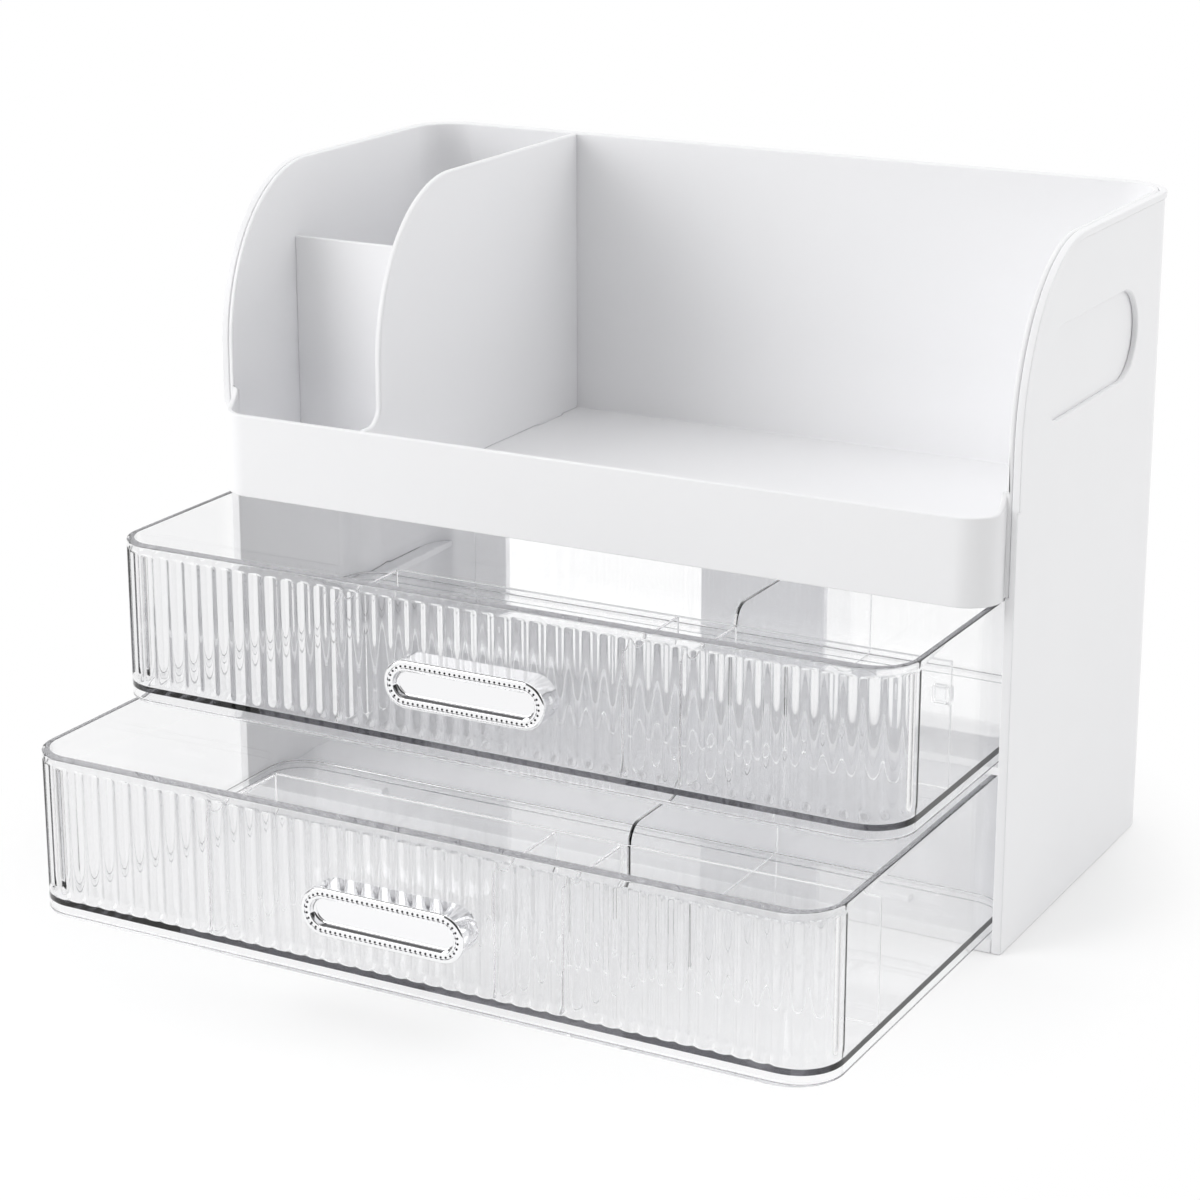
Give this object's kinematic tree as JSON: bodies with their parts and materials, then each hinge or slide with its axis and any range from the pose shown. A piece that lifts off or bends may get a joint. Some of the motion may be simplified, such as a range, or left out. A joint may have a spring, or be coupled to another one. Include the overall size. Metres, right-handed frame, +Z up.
{
  "type": "makeup drawer organizer",
  "caption": "White vanity organizer with an open bin, a brush compartment and clear reeded drawers that pull out by bright oval handles.",
  "frame": {"origin": "centre of the case footprint on the surface it stands on", "axes": "X to the right seen from the front, Y to the back, Z up"},
  "size_m": [0.3214, 0.3037, 0.2465],
  "materials": {
    "white_plastic": "white moulded plastic with a satin surface",
    "clear_plastic": "clear moulded plastic, polished",
    "bright_metal": "bright metallised plastic",
    "screw_steel": "plain steel"
  },
  "bodies": {
    "case": {"base_plate": "white_plastic", "left_side_panel": "white_plastic", "right_side_panel": "white_plastic", "back_panel": "white_plastic", "middle_shelf": "white_plastic", "upper_bin": "white_plastic", "long_partition": "white_plastic", "brush_partition": "white_plastic"},
    "upper_drawer": {"upper_drawer_tub": "clear_plastic", "upper_handle": "bright_metal", "upper_handle_screws": "screw_steel", "upper_cross_divider": "clear_plastic", "upper_left_short_divider": "clear_plastic", "upper_middle_short_divider": "clear_plastic", "upper_right_short_divider": "clear_plastic", "upper_rear_divider": "clear_plastic", "upper_divider_clip": "clear_plastic"},
    "lower_drawer": {"lower_drawer_tub": "clear_plastic", "lower_handle": "bright_metal", "lower_handle_screws": "screw_steel", "lower_cross_divider": "clear_plastic", "lower_left_short_divider": "clear_plastic", "lower_middle_short_divider": "clear_plastic", "lower_right_short_divider": "clear_plastic", "lower_rear_divider": "clear_plastic"}
  },
  "joints": [
    {"name": "upper_drawer_slide", "type": "slide", "parent": "case", "child": "upper_drawer", "axis": [0, -1, 0], "range_m": [-0.07, 0.06]},
    {"name": "lower_drawer_slide", "type": "slide", "parent": "case", "child": "lower_drawer", "axis": [0, -1, 0], "range_m": [-0.124, 0.006]}
  ]
}
